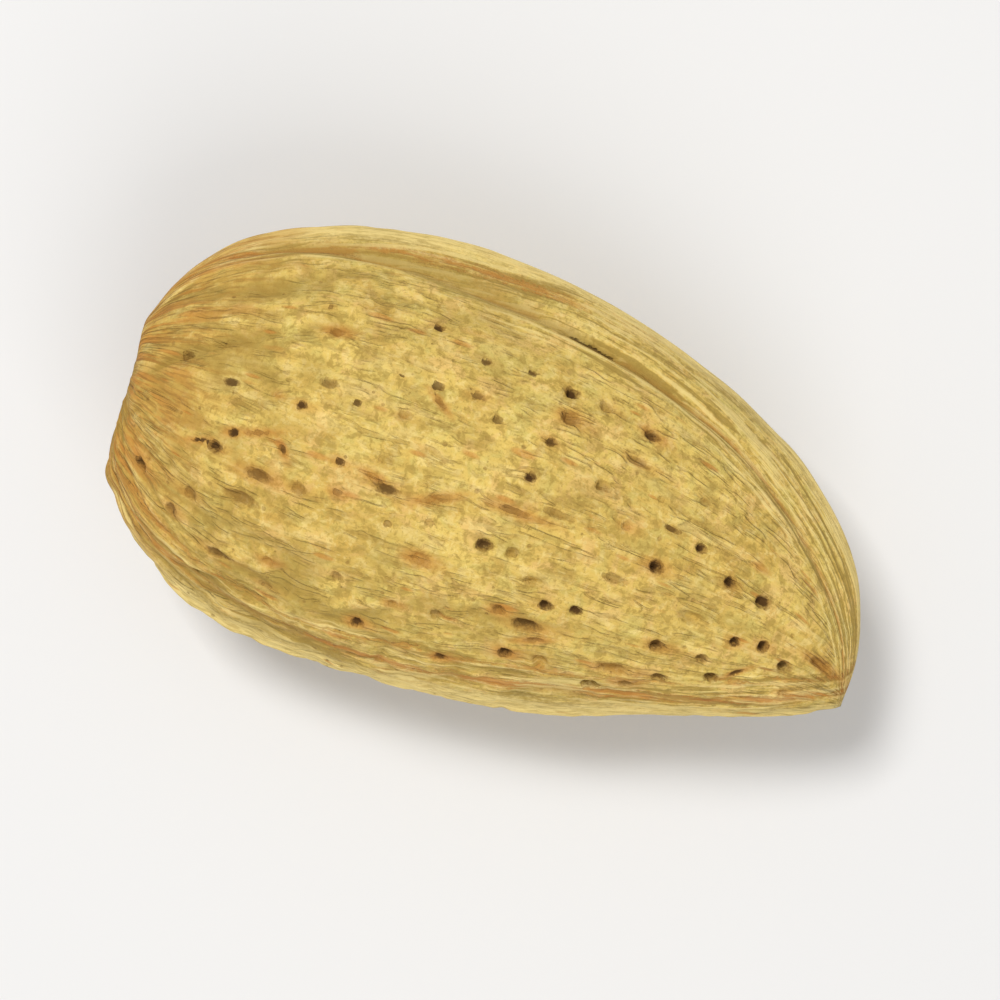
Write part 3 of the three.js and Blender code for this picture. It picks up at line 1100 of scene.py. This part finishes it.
class ShellMaterial:
    """The shell's material, mixed from the fields that its mesh stores and from its object coordinates."""

    def __init__(self, finish: ShellFinish, shell: AlmondShell) -> None:
        """Reads the places and the noises that the parts of the material share.

        Args:
            finish: its colours and heights.
            shell: the shell that wears it, for the place of its slit.
        """
        self.finish = finish
        self.slit_start, self.slit_end = shell.slit_start, shell.slit_end
        self.graph = graph = ShaderGraph("nut_shell")
        self.here = graph.scaled(graph.add("ShaderNodeTexCoord").outputs["Object"], *[1 / MM] * 3)
        self.tube = graph.stored("tube", "Vector")
        edges = graph.add("ShaderNodeSeparateXYZ", None, {0: graph.stored("edges", "Vector")})
        self.ventral, self.dorsal, self.face = (Value(graph, output) for output in edges.outputs)
        self.off_keel, self.place, self.pit_dark = (graph.field(name) for name in ("keel", "place", "dark"))
        self.fibre = self.streaked(0.35, 1.7, 4.0, 0.62, 0.5)
        self.thread = self.streaked(1.1, 6.5, 3.0, 0.6, 0.3)
        self.grain = graph.noise(self.here, 4.5, 4.0, 0.7)
        self.ragged = graph.noise(self.here, 5.0, 2.0, 0.6)
        offset = {0: graph.stored("offset", "Vector")}
        length = graph.add("ShaderNodeVectorMath", {"operation": "LENGTH"}, offset).outputs["Value"]
        self.away = Value(graph, length) + (self.ragged - 0.5) * 1.1

    def streaked(self, along: float, around: float, detail: float, rough: float, bend: float) -> Value:
        """Gives noise on the tube, with its own count of features in a millimetre along and around it."""
        return self.graph.noise(self.graph.scaled(self.tube, along, around, around), 1.0, detail, rough, bend)

    def crinkles(self) -> Value:
        """Gives the share of each place that is in a fine crease.

        Returns:
            The share: 1 where streaked noise crosses its middle, in patches and off the keel band.
        """
        lines = self.graph.math("ABSOLUTE", self.streaked(0.5, 2.3, 2.0, 0.5, 0.5) - 0.5).step(0.09, 0.0)
        patches = self.streaked(0.6, 1.2, 1.0, 0.5, 0.0).step(0.42, 0.6)
        return lines * self.off_keel.step(0.2, 1.4) * patches

    def laminae(self) -> Value:
        """Gives the thin sheets that show beside both edges, as heights from 0 to 1 around 0.5.

        They are noise that changes quickly across the edge and slowly along it, so they follow it, and they
        fade out towards the middle of the face.

        Returns:
            The heights.
        """
        beside_keel, beside_dorsal = self.off_keel.step(1.8, 0.1), self.dorsal.step(3.0, 1.0)
        heights = []
        for along, across, beside in (
            (6.0, self.ventral * 4.0, beside_keel),
            (7.0, self.dorsal * 4.2, beside_dorsal),
        ):
            parts = {0: self.place * along, 1: across + self.fibre * 1.4, 2: self.face * 2.0}
            joined = self.graph.add("ShaderNodeCombineXYZ", None, parts).outputs[0]
            heights.append((self.graph.noise(joined, 1.0, 2.0, 0.6) - 0.5) * beside * 1.6)
        return heights[0] + heights[1] + 0.5

    def rims(self) -> tuple[Value, Value]:
        """Gives the pale rims of both edges, partly a painted highlight along them, and the brown lines
        inside them, which wander and break up.

        Returns:
            The share of each place that is pale rim, and the share that is brown line.
        """
        sway = (self.ragged - 0.5) * 0.4 + (self.fibre - 0.5) * 0.6
        ventral, dorsal = self.ventral + sway, self.dorsal + sway
        pale = (ventral.step(0.55, 0.15) + dorsal.step(0.45, 0.1)).clamped()
        outer = (ventral - 0.75).bell(0.16) * self.place.step(0.62, 0.4)
        inner = (self.off_keel + sway * 0.3).bell(0.11)
        lower = (dorsal - 0.85).bell(0.17) + (self.dorsal + sway * 1.5 - 1.7).bell(0.12) * 0.6
        return pale, (outer + lower + inner * 0.7) * (self.fibre.step(0.56, 0.44) * 0.7 + 0.3)

    def slit(self) -> Value:
        """Gives the share of each place that is in the open slit of the upper face's keel furrow.

        Returns:
            The share.
        """
        started = self.place.step(self.slit_start, self.slit_start + 0.03)
        unended = self.place.step(self.slit_end, self.slit_end - 0.03)
        cut = (self.off_keel + (self.ragged - 0.5) * 0.12).bell(0.1) * started * unended
        return cut.step(0.25, 0.7) * self.face.step(0.5, 1.0)

    def build(self) -> bpy.types.Material:
        """Mixes the shell's colour, its roughness and its finest relief.

        Straw turns ochre, khaki and tan in blotches, and pale along raised fibres. Stained places go rust,
        and specks and dashes darken. Painted shade turns hollows and creases olive and fine creases cork,
        darkens the pits, partly over their own brown, almost to black at their bottoms, and darkens the slit.
        The pale rims stand partly for a painted highlight along the edges. Each layer covers the ones before
        it by its share.

        Returns:
            The material.
        """
        graph, here, away, tone = self.graph, self.here, self.away, self.finish
        fibre, thread, grain, dark = self.fibre, self.thread, self.grain, self.pit_dark
        crinkle, lamina, slit = self.crinkles(), self.laminae(), self.slit()
        rim, line = self.rims()
        off_band = self.off_keel.step(0.3, 1.5)
        speck = graph.spots(here, 1.6, 0.35, 0.07, 0.17) * off_band
        dash = graph.spots(graph.scaled(self.tube, 0.5, 2.1, 2.1), 1.0, 0.3, 0.12, 0.3) * off_band
        broad = graph.noise(here, 0.2, 3.0, 0.55)
        patch = graph.noise(here, 0.55, 4.0, 0.65)
        tint = graph.noise(here, 0.8, 3.0, 0.65, 0.5)
        mottle = graph.noise(here, 2.1, 3.0, 0.65, 0.4)
        stem = self.place.step(0.2, 0.02)
        layers = (
            (broad.step(0.45, 0.65) * 0.4, tone.ochre),
            (tint.step(0.5, 0.64) * 0.45, tone.khaki),
            (tint.step(0.49, 0.36) * 0.4, tone.tan),
            (patch.step(0.5, 0.66) * 0.5, tone.ochre),
            (mottle.step(0.52, 0.62) * 0.6, tone.olive),
            (mottle.step(0.47, 0.36) * 0.5, tone.pale),
            (fibre.step(0.5, 0.7) * 0.45, tone.pale),
            (fibre.step(0.48, 0.34) * 0.35, tone.olive),
            (thread.step(0.46, 0.34) * 0.3, tone.olive),
            (grain.step(0.48, 0.36) * 0.5, tone.olive),
            # Painted shade: cork darkens the fine creases.
            (crinkle * 0.3, tone.cork),
            # Painted shade: olive darkens the creases of the folds.
            (graph.field("crease") * 0.7, tone.olive),
            (lamina.step(0.46, 0.35) * 0.8, tone.olive),
            (lamina.step(0.54, 0.64) * 0.65, tone.pale),
            # The pale rims stand partly for a painted highlight along the edges.
            (rim * (thread.step(0.4, 0.56) * 0.45 + 0.45), tone.pale),
            (line * 0.75, tone.rust),
            (stem * patch.step(0.62, 0.42) * 0.9, tone.ochre),
            (stem * fibre.step(0.56, 0.42) * 0.65, tone.rust),
            (stem * thread.step(0.52, 0.4) * 0.6, tone.cork),
            # Painted shade: olive darkens the surface with the depth of its hollows.
            (graph.field("hollow").step(-0.08, -0.4) * 0.6, tone.olive),
            (graph.field("stain") * 0.6, tone.rust),
            (speck * 0.45, tone.cork),
            (dash * 0.55, tone.rust),
            # Painted shade in the pits, partly over their own brown: cork inside each pit, and dark at its
            # bottom.
            (away.step(1.4, 0.85) * dark * 0.8, tone.cork),
            (away.step(0.95, 0.5) * dark.step(0.3, 0.8), tone.dark),
            # Painted shade: the open slit is painted dark.
            (slit * 0.8, tone.dark),
        )
        colour: Input = tone.straw
        for share, layer in layers:
            colour = graph.mix(share, colour, layer)
        height = (
            (fibre - 0.5) * tone.fibre_height
            + (thread - 0.5) * tone.thread_height
            + (grain - 0.5) * tone.grain_height
            + (lamina - 0.5) * tone.lamina_height
            - crinkle * tone.crinkle_depth
            - line * tone.rim_line_depth
            - speck * tone.speck_depth
            - dash * tone.dash_depth
            - slit * tone.slit_depth
            - away.step(1.15, 0.5) * dark * tone.pit_depth
        )
        bump = graph.add("ShaderNodeBump", None, {"Strength": 1.0, "Distance": MM, "Height": height})
        inputs = {
            "Base Color": colour,
            "Roughness": ((grain - 0.5) * 0.25 + tone.roughness + away.step(1.3, 0.8) * 0.1).clamped(),
            "Specular IOR Level": tone.specular,
            "Normal": bump.outputs[0],
        }
        return graph.finished(inputs)


@dataclass(frozen=True)
class SoftLight:
    """A square soft light: its name, its place to the right of, above and over the nut in the picture, its
    side in metres and its power in watts."""

    name: str
    place: tuple[float, float, float]
    side: float
    power: float

    def make(self, target: Vector, turn: Matrix) -> None:
        """Makes the light, pointing at the nut.

        Args:
            target: the middle of the nut.
            turn: how the picture is turned.
        """
        data = bpy.data.lights.new(self.name, "AREA")
        data.size, data.energy = self.side, self.power
        light = bpy.data.objects.new(self.name, data)
        offset = turn @ Vector(self.place)
        light.location = target + offset
        light.rotation_mode = "QUATERNION"
        light.rotation_quaternion = (-offset).to_track_quat("-Z", "Y")
        bpy.context.scene.collection.objects.link(light)


@dataclass
class Studio:
    """A plain pale floor, soft lights and a camera straight above the nut. Sizes are in metres."""

    turn: float = 23.6
    lens: float = 100.0
    frame_width: float = 0.0455
    floor_radii: tuple[float, ...] = (0.05, 0.2, 0.8, 3.0)
    floor_columns: int = 96
    floor_colour: Colour = from_srgb(221, 220, 218)
    world_colour: Colour = from_srgb(240, 240, 242)
    world_strength: float = 0.5
    lights: tuple[SoftLight, ...] = (
        SoftLight("key", (-0.13, 0.17, 0.41), 0.13, 1.47),
        SoftLight("fill", (0.12, -0.4, 0.35), 0.4, 1.3),
    )

    def build(self, target: Vector) -> None:
        """Makes the floor, the lights, the world and the camera.

        Args:
            target: the middle of the nut.
        """
        self.make_floor()
        self.make_world()
        turn = Matrix.Rotation(math.radians(self.turn), 4, "Z")
        for light in self.lights:
            light.make(target, turn)
        self.make_camera(target, turn)
        bpy.context.scene.view_settings.view_transform = "Standard"

    def make_floor(self) -> None:
        """Makes the floor, a flat disc of rings around the nut at Z = 0.

        Its faces are those of a girth without its second pole, turned to face up.
        """
        angle = TURN * np.arange(self.floor_columns) / self.floor_columns
        radius = np.array(self.floor_radii)[:, None]
        flat = stacked(radius * np.cos(angle), radius * np.sin(angle), 0.0)
        points = np.concatenate((np.zeros((1, 3)), flat.reshape(-1, 3)))
        faces = girth_faces(len(radius), self.floor_columns)[: -self.floor_columns]
        floor = mesh_object("floor", points, [face[::-1] for face in faces])
        inputs = {"Base Color": self.floor_colour, "Roughness": 0.9, "Specular IOR Level": 0.2}
        floor.data.materials.append(ShaderGraph("floor_paper").finished(inputs))
        floor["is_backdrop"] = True

    def make_world(self) -> None:
        """Makes the even, pale surroundings."""
        world = bpy.data.worlds.new("studio")
        world.use_nodes = True
        background = world.node_tree.nodes["Background"]
        background.inputs["Color"].default_value = self.world_colour
        background.inputs["Strength"].default_value = self.world_strength
        bpy.context.scene.world = world

    def make_camera(self, target: Vector, turn: Matrix) -> None:
        """Makes the camera, straight above the nut.

        Args:
            target: what it points at.
            turn: how it is turned, so that the nut lies aslant in the picture.
        """
        data = bpy.data.cameras.new("camera")
        data.lens, data.clip_start = self.lens, 0.01
        camera = bpy.data.objects.new("camera", data)
        distance = self.frame_width * self.lens / data.sensor_width
        camera.matrix_world = Matrix.Translation(target + Vector((0, 0, distance))) @ turn
        bpy.context.scene.collection.objects.link(camera)
        bpy.context.scene.camera = camera


def write_sizes(before: tuple[Vector, Vector], after: tuple[Vector, Vector]) -> None:
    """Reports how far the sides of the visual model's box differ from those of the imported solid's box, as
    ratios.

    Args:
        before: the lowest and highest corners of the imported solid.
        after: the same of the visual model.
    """
    sides = [(after[1][k] - after[0][k]) / (before[1][k] - before[0][k]) for k in range(3)]
    LOG.info("visual size over packed size: %s", [round(side, 4) for side in sides])


def main() -> None:
    """Builds the nut and the studio in order, and reports each piece."""
    logging.basicConfig(level=logging.INFO, format="%(name)s: %(message)s")
    packed_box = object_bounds()
    shell = AlmondShell(finish=ShellFinish())
    piece = shell.build()
    LOG.info("%s: %d points, %d pits and dimples", piece.name, len(piece.data.vertices), len(shell.pits))
    low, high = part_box(NODE)
    Studio().build((low + high) / 2)
    LOG.info("studio ready")
    write_sizes(packed_box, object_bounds())


if __name__ == "__main__":
    main()
